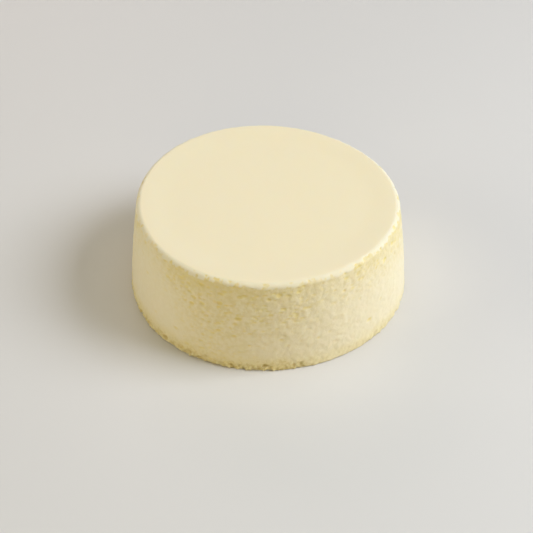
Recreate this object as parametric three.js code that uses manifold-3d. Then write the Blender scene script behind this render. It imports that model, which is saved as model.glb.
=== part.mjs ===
// A small baked cheesecake, turned out of its mould and standing on its crumbly edge. It is one baked piece:
// a flat foot, a side that tapers in as it rises and is pitted with air holes, and a smooth top, a little
// dished inside a soft lip. Millimetres, +Z up, with the origin at the centre of the foot.
import * as THREE from "three";
import { mergeVertices } from "three/addons/utils/BufferGeometryUtils.js";
import Module from "manifold-3d";

// The body.
const footDiameter = 80;
const topDiameter = 74.5; // across the outside of the lip
const height = 28.6; // from the foot to the crest of the lip
const sideSwell = 0.3; // how far the side stands out past a straight taper, at half height
const outOfRound = 0.36; // depth of each wave that takes the outline off a circle

// The top.
const lipRadius = 1.7; // rounding from the side into the top
const lipWidth = 8; // from the crest of the lip in to the level top
const topDish = 0.55; // depth of the level top below the lip

// The crumbly edge at the foot.
const footRadius = 0.5; // rounding from the side into the foot
const crumbBand = 2.2; // height over which the ragged edge fades out
const crumbDepth = 0.5; // how far in the deepest crumb has broken away

// The air holes: flattened round hollows with their centres just inside the side.
const holeCount = 60;
const smallestHole = 1.1; // width along the side
const largestHole = 2.3;
const holeFlatness = 0.65; // height as a share of width
const holeDepth = 0.45; // how far a hole reaches in, as a share of its width
const nickShare = 0.3; // share of the holes that lie just below the lip
const holeMargin = 1.5; // clear side above the crumbly edge and below the lip

// How finely the round stretches are divided.
const segments = 112;
const crumbSteps = 2;
const sideSteps = 6;
const lipSteps = 4;
const dishSteps = 3;
const footSteps = 2;

const footR = footDiameter / 2;
const topR = topDiameter / 2;
const sideBottom = footRadius;
const sideTop = height - lipRadius;

// A number from 0 to 1 that looks random and is the same in every run, for piece i of a kind.
function fraction(i, kind) {
  const x = Math.sin(i * 12.9898 + kind * 78.233) * 43758.5453;
  return x - Math.floor(x);
}

// Radius of the even side at height z: a straight taper with a half sine wave of swell on it.
function sideRadius(z) {
  const t = THREE.MathUtils.clamp((z - sideBottom) / (sideTop - sideBottom), 0, 1);
  return THREE.MathUtils.lerp(footR, topR, t) + sideSwell * Math.sin(Math.PI * t);
}

// How far the outline lies outside a circle at an angle: a wave with three lobes, one with two, and one with a
// single lobe that keeps the whole centred.
function wander(angle) {
  return outOfRound * (Math.cos(3 * angle) - Math.sin(2 * angle) - Math.cos(angle));
}

// How far the crumbly edge lies inside the even side: by chance at each corner, fading out over the crumb band.
function crumble(angle, z) {
  const corner = (Math.round((angle / (2 * Math.PI)) * segments) + segments) % segments;
  const fade = THREE.MathUtils.clamp(1 - z / crumbBand, 0, 1);
  return crumbDepth * fade * fraction(corner, 4 + Math.round(z));
}

// The cut through the cake, from the middle of the foot out, up the side and back in to the middle of the top.
function profile() {
  const points = [new THREE.Vector2(0, 0)];
  const arc = (radius, z, rounding, from, steps) => {
    for (let i = 0; i <= steps; i++) {
      const turn = from + (i / steps) * (Math.PI / 2);
      points.push(new THREE.Vector2(radius + rounding * Math.cos(turn), z + rounding * Math.sin(turn)));
    }
  };
  const side = (from, to, steps) => {
    for (let i = 1; i <= steps; i++) {
      const z = THREE.MathUtils.lerp(from, to, i / steps);
      points.push(new THREE.Vector2(sideRadius(z), z));
    }
  };
  arc(footR - footRadius, footRadius, footRadius, -Math.PI / 2, footSteps);
  side(sideBottom, crumbBand, crumbSteps);
  side(crumbBand, sideTop, sideSteps);
  points.pop();
  arc(topR - lipRadius, sideTop, lipRadius, 0, lipSteps);
  for (let i = 1; i <= dishSteps; i++) {
    const t = i / dishSteps;
    const fall = (topDish * (1 - Math.cos(Math.PI * t))) / 2;
    points.push(new THREE.Vector2(topR - lipRadius - lipWidth * t, height - fall));
  }
  points.push(new THREE.Vector2(0, height - topDish));
  return points;
}

// The body without holes: the profile turned round, then pushed in and out by wander and crumble.
function bodyGeometry() {
  const geometry = new THREE.LatheGeometry(profile(), segments);
  geometry.rotateX(Math.PI / 2);
  const position = geometry.getAttribute("position");
  for (let i = 0; i < position.count; i++) {
    const [x, y, z] = [position.getX(i), position.getY(i), position.getZ(i)];
    const radius = Math.hypot(x, y);
    const angle = Math.atan2(y, x);
    const grow = 1 + (wander(angle) - crumble(angle, z)) / footR;
    position.setXYZ(i, x * grow, y * grow, z);
    if (radius < 1e-6) position.setXYZ(i, 0, 0, z);
  }
  return geometry;
}

// Air hole i: a flattened ball on the side. Golden-angle turns spread the holes evenly round the cake.
function holeGeometry(i) {
  const goldenAngle = Math.PI * (3 - Math.sqrt(5));
  const angle = i * goldenAngle;
  const width = THREE.MathUtils.lerp(smallestHole, largestHole, fraction(i, 1) ** 2);
  const lowest = crumbBand + holeMargin;
  const highest = sideTop - holeMargin;
  const isNick = fraction(i, 2) < nickShare;
  const z = isNick ? highest + holeMargin * fraction(i, 3) : THREE.MathUtils.lerp(lowest, highest, fraction(i, 3));
  const geometry = new THREE.IcosahedronGeometry(1, 1);
  geometry.scale(width * holeDepth, width / 2, (width / 2) * holeFlatness);
  geometry.translate(sideRadius(z) * (1 + wander(angle) / footR), 0, z);
  geometry.rotateZ(angle);
  return geometry;
}

const wasm = await Module();
wasm.setup();

function toSolid(geometry) {
  const bare = geometry.clone();
  bare.deleteAttribute("normal");
  bare.deleteAttribute("uv");
  const merged = mergeVertices(bare, 1e-4);
  return new wasm.Manifold(
    new wasm.Mesh({
      numProp: 3,
      vertProperties: merged.getAttribute("position").array,
      triVerts: new Uint32Array(merged.index.array),
    }),
  );
}

function toGeometry(solid) {
  const mesh = solid.getMesh();
  const geometry = new THREE.BufferGeometry();
  geometry.setAttribute("position", new THREE.BufferAttribute(mesh.vertProperties, 3));
  geometry.setIndex(new THREE.BufferAttribute(mesh.triVerts, 1));
  geometry.computeVertexNormals();
  return geometry;
}

function cheesecake() {
  let solid = toSolid(bodyGeometry());
  for (let i = 0; i < holeCount; i++) {
    solid = solid.subtract(toSolid(holeGeometry(i)));
  }
  const baked = new THREE.MeshStandardMaterial({ color: 0xf0e3c1, roughness: 0.5, metalness: 0 });
  const mesh = new THREE.Mesh(toGeometry(solid), baked);
  mesh.name = "cheesecake";
  return mesh;
}

const model = new THREE.Group();
model.add(cheesecake());
export default model;
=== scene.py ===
"""A small baked cheesecake, turned out of its mould, on a plain pale floor in soft studio light.

The cake is one closed surface: a profile turned round the upright axis, then pitted, grained and
crumbled by formulas. Lengths are in metres, +Z is up, and the origin is the middle of the foot.
"""

import itertools

import bpy
import numpy as np
from bpy.props import FloatProperty, FloatVectorProperty, IntProperty, PointerProperty
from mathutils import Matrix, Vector


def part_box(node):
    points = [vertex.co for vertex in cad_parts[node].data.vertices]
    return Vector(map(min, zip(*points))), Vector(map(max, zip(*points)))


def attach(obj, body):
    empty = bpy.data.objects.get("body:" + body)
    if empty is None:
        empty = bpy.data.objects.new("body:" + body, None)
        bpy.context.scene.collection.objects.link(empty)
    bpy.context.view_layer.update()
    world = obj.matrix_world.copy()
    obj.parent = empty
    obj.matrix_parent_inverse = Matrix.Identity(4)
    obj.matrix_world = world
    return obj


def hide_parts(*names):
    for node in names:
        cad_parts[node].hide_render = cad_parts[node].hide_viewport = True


bl_info = {
    "name": "Baked Cheesecake",
    "version": (1, 0, 0),
    "blender": (4, 5, 0),
    "location": "View3D > Sidebar > Cheesecake",
    "description": "Makes a small baked cheesecake and the studio that it is seen in",
    "category": "Add Mesh",
}

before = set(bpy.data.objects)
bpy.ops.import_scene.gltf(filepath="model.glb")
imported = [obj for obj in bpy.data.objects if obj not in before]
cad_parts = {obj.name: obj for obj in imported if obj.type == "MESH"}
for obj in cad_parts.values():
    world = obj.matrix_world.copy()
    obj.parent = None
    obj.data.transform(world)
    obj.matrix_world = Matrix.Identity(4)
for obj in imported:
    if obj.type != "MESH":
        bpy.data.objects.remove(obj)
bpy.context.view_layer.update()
_, cake_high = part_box("cheesecake")
GOLDEN_ANGLE = np.pi * (3 - np.sqrt(5))


# ---------------------------------------------------------------------------------------------
# Settings
# ---------------------------------------------------------------------------------------------


def length(name, description, default):
    """A property that holds a length in metres."""
    return FloatProperty(
        name=name,
        description=description,
        default=default,
        min=0,
        precision=5,
        subtype="DISTANCE",
        unit="LENGTH",
    )


def portion(name, description, default, lowest=0):
    """A property that holds a share of a whole, up to 1."""
    return FloatProperty(
        name=name, description=description, default=default, min=lowest, max=1, subtype="FACTOR"
    )


def power(name, description, default):
    """A property that holds a power in watts."""
    return FloatProperty(name=name, description=description, default=default, min=0, unit="POWER")


def colour(name, description, default):
    """A property that holds a linear colour."""
    return FloatVectorProperty(
        name=name, description=description, default=default, min=0, max=1, size=3, subtype="COLOR"
    )


class CheesecakeShape(bpy.types.PropertyGroup):
    """The form of the cake, before its air holes and crumbs."""

    foot_diameter: length("Foot diameter", "Width of the cake where it stands", 0.080)
    top_diameter: length("Top diameter", "Width across the outside of the lip", 0.0745)
    height: length("Height", "From the foot to the crest of the lip", cake_high.z)
    side_swell: length("Side swell", "How far the side stands out past a straight taper", 0.0003)
    out_of_round: length("Out of round", "Depth of each wave that makes the outline uneven", 0.00036)
    lip_radius: length("Lip radius", "Rounding from the side into the top", 0.0017)
    lip_width: length("Lip width", "From the crest of the lip in to the level top", 0.008)
    top_dish: length("Top dish", "Depth of the level top below the lip", 0.00055)
    foot_radius: length("Foot radius", "Rounding from the side into the foot", 0.0005)
    columns: IntProperty(
        name="Columns",
        description="Points round the side, a multiple of 8",
        default=768,
        min=64,
        max=2048,
        step=8,
    )
    row_height: length("Row height", "Height of one row of the side", 0.00029)


class CheesecakeCrumb(bpy.types.PropertyGroup):
    """The air holes, the grain and the crumbly foot."""

    hole_count: IntProperty(name="Large holes", description="Large holes in the side", default=60, min=0)
    smallest_hole: length("Smallest hole", "Width of the smallest of the large holes", 0.0011)
    largest_hole: length("Largest hole", "Width of the largest of the large holes", 0.0023)
    hole_flatness: portion("Hole flatness", "Height of a large hole over its width", 0.65, 0.2)
    hole_depth: portion("Hole depth", "Depth of a hole as a share of its width", 0.2)
    lip_share: portion("Holes under the lip", "Share of the large holes that lie there", 0.3)
    hole_margin: length("Hole margin", "Clear side above the ragged foot and below the lip", 0.0015)
    pore_spacing: length("Pore spacing", "Distance between middling air bubbles", 0.0026)
    smallest_pore: length("Smallest pore", "Radius of the smallest middling bubble", 0.0005)
    largest_pore: length("Largest pore", "Radius of the largest middling bubble", 0.0012)
    pore_flatness: portion("Pore flatness", "Height of a middling bubble over its width", 0.5, 0.2)
    fine_pore_spacing: length("Fine pore spacing", "Distance between small air bubbles", 0.0015)
    smallest_fine_pore: length("Smallest fine pore", "Radius of the smallest small bubble", 0.0003)
    largest_fine_pore: length("Largest fine pore", "Radius of the largest small bubble", 0.0008)
    fine_pore_flatness: portion("Fine pore flatness", "Height of a small bubble over its width", 0.55, 0.2)
    pore_depth: portion("Pore depth", "Depth of a bubble's bowl as a share of its radius", 0.30)
    # The patches are placed so that the side is more open and yellower on the shaded front and paler on
    # the lit right: partly painted shade and painted light.
    patch_size: length("Patch size", "Width of the patches where the side is more or less open", 0.030)
    grain_size: length("Grain size", "Width of a lump of curd", 0.0020)
    grain_depth: length("Grain depth", "How far a lump stands up", 0.00018)
    skin_edge: length("Skin edge", "How far up the lip's rounding the smooth skin ends", 0.0003)
    bite_height: length("Bite height", "How far the bites out of the skin's edge go up", 0.0024)
    skin_thickness: length("Skin thickness", "How far the side lies back under the skin's edge", 0.00006)
    # The colour of the band under the lip is painted shade, where the lip shades the side.
    rim_band: length("Rim band", "Height of the open, more yellow band under the lip", 0.0065)
    foot_band: length("Foot band", "Height of the deeper yellow band at the foot", 0.0065)
    crumb_band: length("Crumb band", "Height over which the ragged foot fades out", 0.0030)
    crumb_size: length("Crumb size", "Width of a crumb at the foot", 0.0013)
    crumb_depth: length("Crumb depth", "How far the ragged foot goes in and out", 0.0009)


class CheesecakeFinish(bpy.types.PropertyGroup):
    """The colours and the gloss of the bake."""

    top_colour: colour("Top", "Colour of the smooth top", (0.86, 0.75, 0.50))
    # Painted highlight: a whiter, less yellow colour round the lip's crest stands in for the shine of the
    # light on it.
    crest_highlight_colour: colour("Crest", "Colour of the dry skin round the lip", (0.825, 0.745, 0.525))
    side_colour: colour("Side", "Colour of the porous side", (0.865, 0.762, 0.51))
    # Painted shade: a darker, deeper yellow band under the lip, where the lip shades the side.
    rim_shade_colour: colour("Rim", "Colour of the band under the lip", (0.81, 0.68, 0.33))
    mottle_colour: colour("Mottle", "Colour of the deeper mottles on the side", (0.76, 0.63, 0.285))
    foot_colour: colour("Foot", "Colour of the crumbly foot", (0.79, 0.66, 0.28))
    # Painted shade in the foot's chips, darker the deeper the chip. The same colour also makes the foot's
    # random dark specks.
    chip_shade_and_speck_colour: colour("Chip", "Colour where a crumb has fallen out of the foot", (0.67, 0.53, 0.21))
    # Painted shade: a darker, deeper yellow in the air holes, stronger the deeper the hole.
    hole_shade_colour: colour("Hole", "Colour of the bottoms of the air holes", (0.84, 0.68, 0.22))
    roughness: portion("Roughness", "Roughness of the smooth top", 0.38)
    glow_depth: length("Glow depth", "How far light travels inside the cake", 0.0008)


class CheesecakeStudio(bpy.types.PropertyGroup):
    """The floor, the lights and the camera."""

    floor_colour: colour("Floor", "Colour of the floor", (0.68, 0.648, 0.592))
    floor_radius: length("Floor radius", "From the middle to where the floor starts to curve up", 1.4)
    floor_bend: length("Floor bend", "Radius of the curve from the floor up to the wall", 0.6)
    wall_height: length("Wall height", "Height of the wall above the curve", 1.2)
    key_power: power("Key light", "Power of the light on the right", 9.25)
    roof_power: power("Roof light", "Power of the light above", 2.2)
    left_power: power("Left light", "Power of the low light on the left", 2.5)
    back_power: power("Back light", "Power of the light behind", 1.4)
    front_power: power("Front light", "Power of the light in front", 1.35)
    light_distance: length("Light distance", "From each light to the middle of the cake", 0.9)
    camera_distance: length("Camera distance", "From the camera to the point it looks at", 0.400)
    camera_pitch: FloatProperty(
        name="Camera pitch",
        description="How far the camera looks down",
        default=np.radians(40.4),
        subtype="ANGLE",
        unit="ROTATION",
    )
    camera_lens: FloatProperty(
        name="Camera lens", description="Focal length", default=92.06, min=1, unit="CAMERA"
    )


# ---------------------------------------------------------------------------------------------
# Chance and noise. A seed is any whole number: each gives a pattern of its own, the same in every run.
# ---------------------------------------------------------------------------------------------


def fraction(index, kind):
    """A number from 0 to 1 that looks random, for piece index of a kind: what follows the point in a
    large sine."""
    x = np.sin(index * 12.9898 + kind * 78.233) * 43758.5453
    return x - np.floor(x)


def chance(cells, seed):
    """A number from 0 to 1 for each whole-numbered cell: its three numbers are multiplied by large odd
    numbers, mixed with the seed and scrambled."""
    x, y, z = (cells[..., axis].astype(np.uint32) for axis in range(3))
    mixed = x * np.uint32(73856093) ^ y * np.uint32(19349663) ^ z * np.uint32(83492791)
    mixed = mixed ^ np.uint32(seed * 2654435761 % 2**32)
    for shift, factor in ((15, 0x2C1B3C6D), (12, 0x297A2D39)):
        mixed = (mixed ^ (mixed >> np.uint32(shift))) * np.uint32(factor)
    mixed = mixed ^ (mixed >> np.uint32(15))
    return mixed / 2**32


def chance_vector(cells, seed):
    """Three numbers from 0 to 1 for each cell."""
    return np.stack([chance(cells, seed + axis) for axis in range(3)], axis=-1)


def noise(points, cell, seed):
    """Smooth noise, mostly from -1 to 1: each corner of a grid of cells has a random slope, and the
    heights that the slopes give at a point are blended by a smooth step along each axis."""
    scaled = points / cell
    low = np.floor(scaled).astype(np.int64)
    inside = scaled - low
    step = inside * inside * (3 - 2 * inside)
    total = np.zeros(len(points))
    for corner in itertools.product((0, 1), repeat=3):
        slope = 2 * chance_vector(low + corner, seed) - 1
        share = np.where(corner, step, 1 - step).prod(axis=1)
        total += share * np.einsum("ij,ij->i", slope, inside - corner)
    full_range = 1.6
    return full_range * total


def smooth_step(low, high, value):
    """0 up to low, 1 from high, and a smooth curve between them."""
    t = np.clip((value - low) / (high - low), 0, 1)
    return t * t * (3 - 2 * t)


def bubbles(points, spacing, smallest, largest, flatness, seed):
    """Depth of open air bubbles at each point of a surface.

    Each cell of a grid holds one ball at a random place, of a random radius between smallest and
    largest, and heights are stretched first, which flattens the balls by flatness. Inside a ball the
    depth is its radius times one less the square of the distance from its centre in radii: a soft bowl.
    Elsewhere it is 0."""
    places = points * (1, 1, 1 / flatness)
    low = np.floor(places / spacing).astype(np.int64)
    depth = np.zeros(len(points))
    for shift in itertools.product((-1, 0, 1), repeat=3):
        cell = low + shift
        centre = (cell + chance_vector(cell, seed)) * spacing
        radius = smallest + (largest - smallest) * chance(cell, seed + 3) ** 2
        square = ((centre - places) ** 2).sum(axis=1) / radius**2
        depth = np.maximum(depth, radius * (1 - square))
    return depth


# ---------------------------------------------------------------------------------------------
# The cake's surface
# ---------------------------------------------------------------------------------------------


def growing_steps(first, total, count):
    """Distances from 0 to total in count steps that grow by one factor, the first about first long.

    The factor is the one of many candidates whose geometric sum comes nearest to total."""
    factors = np.linspace(1.0001, 1.6, 3000)
    sums = first * (factors**count - 1) / (factors - 1)
    factor = factors[np.argmin(np.abs(sums - total))]
    places = (factor ** np.arange(count + 1) - 1) / (factor**count - 1)
    return places * total


def cap_columns(columns, rings):
    """Points round each ring of a cap, from its edge in: the full number, halved after a fifth of the
    rings, a little before half of them and at seven tenths, so that faces near the middle don't turn
    into needles."""
    halved_at = (0.2, 0.45, 0.7)
    halvings = np.searchsorted(halved_at, np.arange(rings) / rings, side="right")
    return columns // 2**halvings


def side_radius(height, shape):
    """Radius of the even side at a height: a straight taper from foot to lip, plus half a sine wave of
    swell."""
    low = shape.foot_radius
    high = shape.height - shape.lip_radius
    t = np.clip((height - low) / (high - low), 0, 1)
    taper = (1 - t) * shape.foot_diameter / 2 + t * shape.top_diameter / 2
    return taper + shape.side_swell * np.sin(np.pi * t)


def quarter_turn(radius, height, rounding, start, steps):
    """Radii and heights of a quarter circle of the profile, counter-clockwise from the angle start."""
    turn = start + np.linspace(0, np.pi / 2, steps + 1)
    return radius + rounding * np.cos(turn), height + rounding * np.sin(turn)


def profile(shape):
    """The cut through the cake, from the first ring of the foot out, up the side and in to the last ring
    of the top.

    Returns each row's radius, height and number of points round it. The foot is level, the side follows
    side_radius, two quarter circles round the corners, and the top falls by half a cosine wave over the
    lip's width and is level from there in."""
    foot_rings, top_rings = 18, 22
    foot_turn_steps, lip_turn_steps = 4, 14
    foot_edge = shape.foot_diameter / 2 - shape.foot_radius
    top_edge = shape.top_diameter / 2 - shape.lip_radius
    foot_in = growing_steps(shape.row_height, foot_edge, foot_rings)[1:-1]
    top_in = growing_steps(shape.row_height, top_edge, top_rings)[1:-1]
    low, high = shape.foot_radius, shape.height - shape.lip_radius
    steps = round((high - low) / shape.row_height)
    heights = np.linspace(low, high, steps + 1)[1:-1]
    down = -np.pi / 2
    foot_turn_r, foot_turn_z = quarter_turn(foot_edge, low, shape.foot_radius, down, foot_turn_steps)
    lip_turn_r, lip_turn_z = quarter_turn(top_edge, high, shape.lip_radius, 0, lip_turn_steps)
    fall = shape.top_dish * (1 - np.cos(np.pi * np.clip(top_in / shape.lip_width, 0, 1))) / 2
    side = side_radius(heights, shape)
    radius = (foot_edge - foot_in[::-1], foot_turn_r, side, lip_turn_r, top_edge - top_in)
    height = (0 * foot_in, foot_turn_z, heights, lip_turn_z, shape.height - fall)
    full = np.full(len(foot_turn_r) + len(side) + len(lip_turn_r), shape.columns)
    foot_counts = cap_columns(shape.columns, len(foot_in))[::-1]
    counts = (foot_counts, full, cap_columns(shape.columns, len(top_in)))
    return np.concatenate(radius), np.concatenate(height), np.concatenate(counts)


def profile_normals(radius, height):
    """Outward directions in the cut, as radial and upright parts: the slope between each row's
    neighbours, turned by a quarter."""
    along = np.stack([np.gradient(radius), np.gradient(height)], axis=1)
    along = along / np.linalg.norm(along, axis=1, keepdims=True)
    return along[:, 1], -along[:, 0]


def faces_between(first, count, next_first, next_count):
    """Faces between a ring of points and the next one, which has as many points, half as many or twice
    as many.

    Rings of one size are joined by four-sided faces. Otherwise each step of the sparser ring and the two
    steps across from it are joined by three three-sided faces."""
    j = np.arange(min(count, next_count))
    if count == next_count:
        k = (j + 1) % count
        return np.stack([first + j, first + k, next_first + k, next_first + j], axis=1).tolist()
    k = (j + 1) % len(j)
    middle, after = 2 * j + 1, (2 * j + 2) % (2 * len(j))
    if count > next_count:
        parts = (
            (first + 2 * j, first + middle, next_first + j),
            (first + middle, first + after, next_first + k),
            (first + middle, next_first + k, next_first + j),
        )
    else:
        parts = (
            (first + j, next_first + middle, next_first + 2 * j),
            (first + j, first + k, next_first + middle),
            (first + k, next_first + after, next_first + middle),
        )
    return np.concatenate([np.stack(part, axis=1) for part in parts]).tolist()


def turned_surface(shape):
    """The profile turned round the upright axis, with a point at each pole.

    Returns the points, their outward normals and the faces. A ring's points are evenly spaced, at its
    radius stretched by the wander of the outline: a wave with three lobes, one with two, and one with a
    single lobe that keeps the whole centred."""
    radius, height, counts = profile(shape)
    outward, upward = profile_normals(radius, height)
    starts = 1 + np.concatenate([[0], np.cumsum(counts)[:-1]])
    row = np.repeat(np.arange(len(counts)), counts)
    place = np.arange(len(row)) - np.repeat(starts - 1, counts)
    angle = 2 * np.pi * place / counts[row]
    wander = np.cos(3 * angle) - np.sin(2 * angle) - np.cos(angle)
    reach = radius[row] * (1 + shape.out_of_round * wander / (shape.foot_diameter / 2))
    points = np.stack([reach * np.cos(angle), reach * np.sin(angle), height[row]], axis=1)
    normals = np.stack([outward[row] * np.cos(angle), outward[row] * np.sin(angle), upward[row]], axis=1)
    foot_pole, top_pole = (0, 0, 0), (0, 0, height[-1])
    points = np.vstack([foot_pole, points, top_pole])
    normals = np.vstack([(0, 0, -1), normals, (0, 0, 1)])
    j = np.arange(counts[0])
    faces = np.stack([0 * j, 1 + (j + 1) % counts[0], 1 + j], axis=1).tolist()
    for i in range(len(counts) - 1):
        faces += faces_between(starts[i], counts[i], starts[i + 1], counts[i + 1])
    j = np.arange(counts[-1])
    last = starts[-1]
    faces += np.stack([last + j, last + (j + 1) % counts[-1], 0 * j + len(points) - 1], axis=1).tolist()
    return points, normals, faces


def large_holes(points, shape, crumb):
    """Depth of the large air holes: soft bowls at golden-angle turns round the side, some of them just
    below the lip. Inside a hole's ellipse the depth is its full depth times one less the square of the
    distance from its middle in half-widths, and that square is warped by noise, which makes the ellipses
    uneven."""
    lowest = crumb.crumb_band + crumb.hole_margin
    highest = shape.height - shape.lip_radius - crumb.hole_margin
    angle = np.arctan2(points[:, 1], points[:, 0])
    reach = np.hypot(points[:, 0], points[:, 1])
    warp = 1 + 0.4 * noise(points, 0.0009, 41)
    depth = np.zeros(len(points))
    for i in range(crumb.hole_count):
        size = fraction(i, 1) ** 2
        width = (1 - size) * crumb.smallest_hole + size * crumb.largest_hole
        share = fraction(i, 3)
        if fraction(i, 2) < crumb.lip_share:
            height = highest + crumb.hole_margin * share
        else:
            height = (1 - share) * lowest + share * highest
        turn = (angle - i * GOLDEN_ANGLE + np.pi) % (2 * np.pi) - np.pi
        across = turn * reach / (width / 2)
        up = (points[:, 2] - height) / (width / 2 * crumb.hole_flatness)
        square = (across**2 + up**2) * warp
        depth = np.maximum(depth, width * crumb.hole_depth * np.clip(1 - square, 0, 1))
    return depth


def skin_cover(points, normals, shape, crumb):
    """How much the smooth skin covers each point, from 0 to 1. It hangs over the lip and ends in a
    ragged line, from which bites of three widths go up: a smooth step of how far up the lip's rounding
    the point lies, less the height of the line there. Where the surface is nearly level, the skin is
    always whole."""
    widths_and_shares = ((0.0022, 0.7), (0.0011, 0.5), (0.0007, 0.4))
    fade, nearly_level = 0.0003, 0.93
    lip_start = shape.height - shape.lip_radius
    travel = shape.lip_radius * np.arcsin(np.clip((points[:, 2] - lip_start) / shape.lip_radius, -1, 1))
    upright = points * (1, 1, 0.5)
    ragged = sum(share * noise(upright, width, 5) for width, share in widths_and_shares)
    line = crumb.skin_edge + crumb.bite_height * smooth_step(-0.3, 0.6, ragged)
    cover = smooth_step(-fade, fade, travel - line)
    return np.where(normals[:, 2] > nearly_level, 1.0, cover)


def curd_grain(points, crumb):
    """Lumps of curd, mostly from -1 to 1: rounded ones with creases between them, from the size of
    smooth noise without its sign, plus finer lumps and faint upright streaks."""
    size = crumb.grain_size
    rounded = 2.2 * np.abs(noise(points, size, 13)) - 0.6
    streaks = noise(points * (1, 1, 0.35), 1.3 * size, 15)
    return 0.4 * rounded + 0.35 * streaks + 0.25 * noise(points, size / 2, 17)


def crumbled_foot(points, crumb):
    """How far the ragged foot stands out or lies in, mostly from -1.5 to 0.6: crumbs of two sizes, and
    here and there a deep chip where one has fallen out."""
    crumbs = 0.7 * noise(points, crumb.crumb_size, 25) + 0.6 * noise(points, crumb.crumb_size / 2, 27)
    chips = smooth_step(0.35, 0.6, noise(points, 1.5 * crumb.crumb_size, 29))
    return crumbs - 0.2 - 1.3 * chips


def pitted_surface(shape, crumb):
    """The cake's points and faces, and marks that say, from 0 to 1, how much each point is smooth skin,
    crest of the lip, rim under the lip, foot, open porous side, hole and chip.

    Each band is a smooth step of height with noise on its edge. Two slow noises, patches and crumbly,
    make some stretches of the side more open and some of the foot more broken. Each point then moves
    along its normal by the sum of the grain, slow swells and crumbs, less the holes and the step down
    under the skin. No point goes below the foot."""
    points, normals, faces = turned_surface(shape)
    height = points[:, 2]
    outward = np.hypot(normals[:, 0], normals[:, 1])
    lip_start = shape.height - shape.lip_radius

    skin = skin_cover(points, normals, shape, crumb)
    side = 1 - skin
    crest = skin * smooth_step(0.999, 0.95, normals[:, 2])
    # The patches are placed so that the more open, more mottled, yellower stretches fall on the shaded
    # front and paler ones on the lit right: partly painted shade and painted light.
    patches = 0.05 + 1.5 * noise(points, crumb.patch_size, 353) + 0.2 * noise(points, 0.009, 11)
    # The rim band under the lip: its colour is painted shade from the lip above it, and the side also
    # steps back there.
    below_lip = (lip_start + crumb.skin_edge - height) / crumb.rim_band
    rim = smooth_step(1.0, 0.1, below_lip + 0.3 * noise(points, 0.002, 7))
    rim = rim * side * np.clip(0.55 + patches, 0.1, 1)
    crumbly = np.clip(0.85 + noise(points, crumb.patch_size, 177), 0.4, 1)
    foot = smooth_step(1.0, 0.1, height / crumb.foot_band + 0.2 * noise(points, 0.003, 9))
    foot = foot * side * crumbly
    ragged = smooth_step(1.0, 0.2, height / crumb.crumb_band + 0.35 * noise(points, 0.0013, 10))
    ragged = ragged * side * outward * crumbly**2

    # The side is more open towards the lip.
    porous = smooth_step(-0.9, 0.8, patches + 1.5 * (height / shape.height - 0.5)) * side
    small, large, flatness = crumb.smallest_pore, crumb.largest_pore, crumb.pore_flatness
    pores = bubbles(points, crumb.pore_spacing, small, large, flatness, 21)
    small, large, flatness = crumb.smallest_fine_pore, crumb.largest_fine_pore, crumb.fine_pore_flatness
    fine_pores = bubbles(points, crumb.fine_pore_spacing, small, large, flatness, 31)
    pitted = np.maximum(pores, fine_pores) * crumb.pore_depth * porous
    holes = np.maximum(pitted, large_holes(points, shape, crumb) * (side + porous) / 2)

    grain = curd_grain(points, crumb) * crumb.grain_depth * (side + 0.5 * crest + 0.03)
    swells = noise(points, 0.004, 19) * 0.00008 * side + noise(points, 0.014, 23) * 0.00005
    crumbled = crumbled_foot(points, crumb) * crumb.crumb_depth * ragged
    set_back = crumb.skin_thickness * rim

    out = grain + swells + crumbled - set_back - holes * outward
    moved = points + normals * out[:, None]
    moved[:, 2] = np.maximum(moved[:, 2], 0)

    # Depths at which the mark of a hole and that of a chip reach about two thirds. Both marks set painted
    # shade, darker the deeper the hole or chip.
    hollow_at, chipped_at = 0.00014, 0.00035
    hollow = 1 - np.exp(-holes / hollow_at)
    chipped = 1 - np.exp(-np.maximum(-crumbled, 0) / chipped_at)
    marks = {"skin": skin, "crest": crest, "rim": rim, "foot": foot, "porous": porous}
    return moved, faces, {**marks, "hollow": hollow, "chipped": chipped}


# ---------------------------------------------------------------------------------------------
# Finishes
# ---------------------------------------------------------------------------------------------


def new_material(name):
    """An empty node material. Returns it, its node tree and its Principled shader."""
    material = bpy.data.materials.new(name)
    material.use_nodes = True
    tree = material.node_tree
    tree.nodes.clear()
    output = tree.nodes.new("ShaderNodeOutputMaterial")
    shader = tree.nodes.new("ShaderNodeBsdfPrincipled")
    tree.links.new(shader.outputs["BSDF"], output.inputs["Surface"])
    return material, tree, shader


def attribute(tree, name):
    """The value of one of the mesh's attributes."""
    node = tree.nodes.new("ShaderNodeAttribute")
    node.attribute_name = name
    return node.outputs["Fac"]


def noise_texture(tree, coordinates, size, detail=2.0):
    """Noise whose features are about size metres wide, from 0 to 1. Each step of detail adds finer
    ones."""
    node = tree.nodes.new("ShaderNodeTexNoise")
    node.inputs["Scale"].default_value = 1 / size
    node.inputs["Detail"].default_value = detail
    tree.links.new(coordinates, node.inputs["Vector"])
    return node.outputs["Fac"]


def remap(tree, value, low, high, from_low=0.0, from_high=1.0):
    """value, stretched from the range from_low to from_high to the range low to high, and kept inside
    it."""
    node = tree.nodes.new("ShaderNodeMapRange")
    ends = {"From Min": from_low, "From Max": from_high, "To Min": low, "To Max": high}
    for name, end in ends.items():
        node.inputs[name].default_value = end
    tree.links.new(value, node.inputs["Value"])
    return node.outputs["Result"]


def calculate(tree, operation, first, second):
    """The result of a Math node's operation on two values, each a number or a socket."""
    node = tree.nodes.new("ShaderNodeMath")
    node.operation = operation
    for socket, value in zip(node.inputs, (first, second)):
        if isinstance(value, (int, float)):
            socket.default_value = value
        else:
            tree.links.new(value, socket)
    return node.outputs["Value"]


def product(tree, first, second):
    """first times second."""
    return calculate(tree, "MULTIPLY", first, second)


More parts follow.
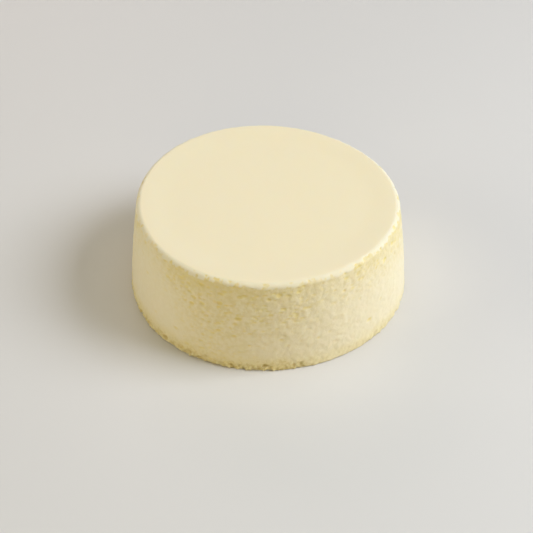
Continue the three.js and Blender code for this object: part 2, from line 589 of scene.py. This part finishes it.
def blend_colour(tree, share, first, second):
    """A mix of two colours, each a colour or a socket. A share of 1 gives the second."""
    node = tree.nodes.new("ShaderNodeMix")
    node.data_type = "RGBA"
    tree.links.new(share, node.inputs["Factor"])
    first_colour, second_colour, mixed_colour = node.inputs[6], node.inputs[7], node.outputs[2]
    for socket, value in ((first_colour, first), (second_colour, second)):
        if isinstance(value, bpy.types.NodeSocket):
            tree.links.new(value, socket)
        else:
            socket.default_value = (*value, 1)
    return mixed_colour


def baked_finish(finish):
    """Baked curd: pale skin on top, a whiter, less yellow crest round the lip that is a painted highlight,
    a yellower mottled side whose open stretches are placed so that the shaded front is yellower and the
    lit right paler, partly painted shade and painted light, painted shade as a darker, deeper yellow in
    the holes, in the foot's chips and under the lip, a deeper yellow speckled foot, cloudy all over, lit a
    little from inside and finely grained.

    The smooth top is the skin less the crest of the lip. It is the glossiest and has the faintest
    grain."""
    material, tree, shader = new_material("baked_curd")
    place = tree.nodes.new("ShaderNodeTexCoord").outputs["Object"]
    names = ("skin", "crest", "rim", "foot", "porous", "hollow", "chipped")
    skin, crest, rim, foot, porous, hollow, chipped = (attribute(tree, name) for name in names)

    # Painted shade under the lip.
    shade = blend_colour(tree, product(tree, rim, 0.9), finish.side_colour, finish.rim_shade_colour)
    shade = blend_colour(tree, product(tree, foot, 0.8), shade, finish.foot_colour)
    specks = remap(tree, noise_texture(tree, place, size=0.0008), 0, 0.9, 0.52, 0.64)
    specks = product(tree, specks, product(tree, foot, foot))
    shade = blend_colour(tree, specks, shade, finish.chip_shade_and_speck_colour)
    # Mottles, stronger where the side is open: yellower on the shaded front and paler on the lit right,
    # partly painted shade and painted light.
    mottles = remap(tree, noise_texture(tree, place, size=0.0012, detail=3), 0.2, 0.75, 0.40, 0.62)
    mottles = product(tree, mottles, remap(tree, porous, 0.2, 1))
    shade = blend_colour(tree, mottles, shade, finish.mottle_colour)
    shade = blend_colour(tree, skin, shade, finish.top_colour)
    # Painted highlight round the lip's crest.
    shade = blend_colour(tree, crest, shade, finish.crest_highlight_colour)
    cloud = remap(tree, noise_texture(tree, place, size=0.008, detail=3), 0, 0.15, 0.35, 0.75)
    shade = blend_colour(tree, cloud, shade, finish.side_colour)
    # Painted shade in the air holes, stronger the deeper the hole.
    shade = blend_colour(tree, product(tree, hollow, 0.75), shade, finish.hole_shade_colour)
    # Painted shade in the foot's chips, stronger the deeper the chip.
    shade = blend_colour(tree, product(tree, chipped, 0.65), shade, finish.chip_shade_and_speck_colour)
    tree.links.new(shade, shader.inputs["Base Color"])

    smooth_top = calculate(tree, "SUBTRACT", skin, crest)
    extra_roughness = 0.35
    roughness = remap(tree, smooth_top, finish.roughness + extra_roughness, finish.roughness)
    tree.links.new(roughness, shader.inputs["Roughness"])
    shader.inputs["IOR"].default_value = 1.42
    shader.inputs["Subsurface Weight"].default_value = 0.5
    shader.inputs["Subsurface Scale"].default_value = finish.glow_depth
    shader.inputs["Subsurface Radius"].default_value = (1.0, 0.85, 0.6)

    bump = tree.nodes.new("ShaderNodeBump")
    bump.inputs["Distance"].default_value = 0.0002
    tree.links.new(remap(tree, smooth_top, 0.35, 0.06), bump.inputs["Strength"])
    tree.links.new(noise_texture(tree, place, size=0.0005, detail=4), bump.inputs["Height"])
    tree.links.new(bump.outputs["Normal"], shader.inputs["Normal"])
    return material


def floor_finish(studio):
    """A plain pale floor, very faintly clouded."""
    material, tree, shader = new_material("pale_floor")
    place = tree.nodes.new("ShaderNodeTexCoord").outputs["Object"]
    darker = tuple(channel * 0.985 for channel in studio.floor_colour)
    shade = blend_colour(tree, noise_texture(tree, place, 0.2), studio.floor_colour, darker)
    tree.links.new(shade, shader.inputs["Base Color"])
    shader.inputs["Roughness"].default_value = 0.55
    return material


# ---------------------------------------------------------------------------------------------
# Operators
# ---------------------------------------------------------------------------------------------


def place_object(name, data):
    """A new object at the origin, in the scene's own collection."""
    made = bpy.data.objects.new(name, data)
    bpy.context.scene.collection.objects.link(made)
    return made


class CHEESECAKE_OT_bake(bpy.types.Operator):
    """Make the cake: one closed, pitted body in the place of the plain one"""

    bl_idname = "cheesecake.bake"
    bl_label = "Bake the Cheesecake"

    def execute(self, context):
        scene = context.scene
        points, faces, marks = pitted_surface(scene.cheesecake_shape, scene.cheesecake_crumb)
        mesh = bpy.data.meshes.new("baked_cheesecake")
        mesh.from_pydata(points.tolist(), [], faces)
        for name, values in marks.items():
            mark = mesh.attributes.new(name, "FLOAT", "POINT")
            mark.data.foreach_set("value", values.astype(np.float32))
        mesh.shade_smooth()
        if mesh.validate():
            raise RuntimeError("the cake's surface has faulty faces")
        mesh.materials.append(baked_finish(scene.cheesecake_finish))
        cake = place_object("baked_cheesecake", mesh)
        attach(cake, "root")
        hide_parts("cheesecake")
        return {"FINISHED"}


def direction_to(azimuth, elevation):
    """A unit vector at an azimuth from +X towards +Y and an elevation above the floor, both in
    degrees."""
    turn, rise = np.radians(azimuth), np.radians(elevation)
    return Vector((np.cos(rise) * np.cos(turn), np.cos(rise) * np.sin(turn), np.sin(rise)))


def add_softbox(name, target, away, size, power, tint):
    """A square soft light that stands away from target and faces it."""
    data = bpy.data.lights.new(name, "AREA")
    data.shape = "SQUARE"
    data.size = size
    data.energy = power
    data.color = tint
    light = place_object(name, data)
    light.location = target + away
    light.rotation_euler = away.to_track_quat("Z", "Y").to_euler()


class CHEESECAKE_OT_studio(bpy.types.Operator):
    """Make the floor, the lights and the camera"""

    bl_idname = "cheesecake.studio"
    bl_label = "Set Up the Studio"

    def execute(self, context):
        scene = context.scene
        studio = scene.cheesecake_studio
        middle = Vector((0, 0, cake_high.z / 2))
        self.add_floor(studio)
        for name, azimuth, elevation, size, power, tint in (
            ("key_light", -5, 42, 0.5, studio.key_power, (0.80, 0.86, 1.0)),
            ("roof_light", 90, 88, 0.7, studio.roof_power, (0.96, 1.0, 0.88)),
            ("left_light", 190, 20, 0.5, studio.left_power, (1.0, 0.955, 0.85)),
            ("back_light", 110, 20, 0.5, studio.back_power, (1.0, 0.84, 0.84)),
            ("front_light", 270, 20, 0.5, studio.front_power, (1.0, 0.88, 0.6)),
        ):
            away = studio.light_distance * direction_to(azimuth, elevation)
            add_softbox(name, middle, away, size, power, tint)
        self.add_dark_sky(scene)
        self.add_camera(scene, studio)
        scene.view_settings.view_transform = "Standard"
        scene.view_settings.look = "None"
        return {"FINISHED"}

    def add_floor(self, studio):
        """A round floor just under the foot, that curves up at its edge into a wall: a level disc, a
        quarter circle and an upright line, turned round the upright axis."""
        drop, columns, bend_steps = 0.00005, 96, 16
        flat, bend = studio.floor_radius, studio.floor_bend
        turn = np.linspace(0, np.pi / 2, bend_steps + 1)
        radius = np.append(flat + bend * np.sin(turn), flat + bend)
        height = np.append(bend - bend * np.cos(turn), bend + studio.wall_height) - drop
        angle = 2 * np.pi * np.arange(columns) / columns
        x, y = np.outer(radius, np.cos(angle)), np.outer(radius, np.sin(angle))
        z = np.repeat(height[:, None], columns, axis=1)
        points = np.stack([x, y, z], axis=-1).reshape(-1, 3)
        faces = [tuple(range(columns))]
        for i in range(len(radius) - 1):
            faces += faces_between((i + 1) * columns, columns, i * columns, columns)
        mesh = bpy.data.meshes.new("floor")
        mesh.from_pydata(points.tolist(), [], faces)
        mesh.polygons.foreach_set("use_smooth", [len(face) == 4 for face in faces])
        mesh.materials.append(floor_finish(studio))
        place_object("floor", mesh)

    def add_dark_sky(self, scene):
        """A sky that gives no light, so that all of it comes from the lights."""
        world = bpy.data.worlds.new("studio_sky")
        world.use_nodes = True
        world.node_tree.nodes["Background"].inputs["Strength"].default_value = 0
        scene.world = world

    def add_camera(self, scene, studio):
        """The camera looks down from the front at a point low in the cake and a hair to the left."""
        target = Vector((-0.00045, 0, 0.0035))
        pitch = studio.camera_pitch
        away = Vector((0, -np.cos(pitch), np.sin(pitch)))
        data = bpy.data.cameras.new("camera")
        data.sensor_width = 36
        data.lens = studio.camera_lens
        data.clip_start = 0.01
        data.clip_end = 10
        camera = place_object("camera", data)
        camera.location = target + studio.camera_distance * away
        camera.rotation_euler = away.to_track_quat("Z", "Y").to_euler()
        scene.camera = camera


class CHEESECAKE_PT_panel(bpy.types.Panel):
    """The cheesecake's settings and steps"""

    bl_idname = "CHEESECAKE_PT_panel"
    bl_label = "Cheesecake"
    bl_space_type = "VIEW_3D"
    bl_region_type = "UI"
    bl_category = "Cheesecake"

    def draw(self, context):
        for title, name, operator in STEPS:
            box = self.layout.box()
            box.label(text=title)
            settings = getattr(context.scene, name)
            for setting in settings.__annotations__:
                box.prop(settings, setting)
            if operator:
                box.operator(operator)


STEPS = (
    ("Shape", "cheesecake_shape", None),
    ("Crumb", "cheesecake_crumb", None),
    ("Finish", "cheesecake_finish", CHEESECAKE_OT_bake.bl_idname),
    ("Studio", "cheesecake_studio", CHEESECAKE_OT_studio.bl_idname),
)
SETTINGS = {
    "cheesecake_shape": CheesecakeShape,
    "cheesecake_crumb": CheesecakeCrumb,
    "cheesecake_finish": CheesecakeFinish,
    "cheesecake_studio": CheesecakeStudio,
}
CLASSES = (*SETTINGS.values(), CHEESECAKE_OT_bake, CHEESECAKE_OT_studio, CHEESECAKE_PT_panel)


def register():
    for made in CLASSES:
        bpy.utils.register_class(made)
    for name, group in SETTINGS.items():
        setattr(bpy.types.Scene, name, PointerProperty(type=group))


def unregister():
    for name in SETTINGS:
        delattr(bpy.types.Scene, name)
    for made in reversed(CLASSES):
        bpy.utils.unregister_class(made)


def main():
    register()
    bpy.ops.cheesecake.bake()
    bpy.ops.cheesecake.studio()


if __name__ == "__main__":
    main()
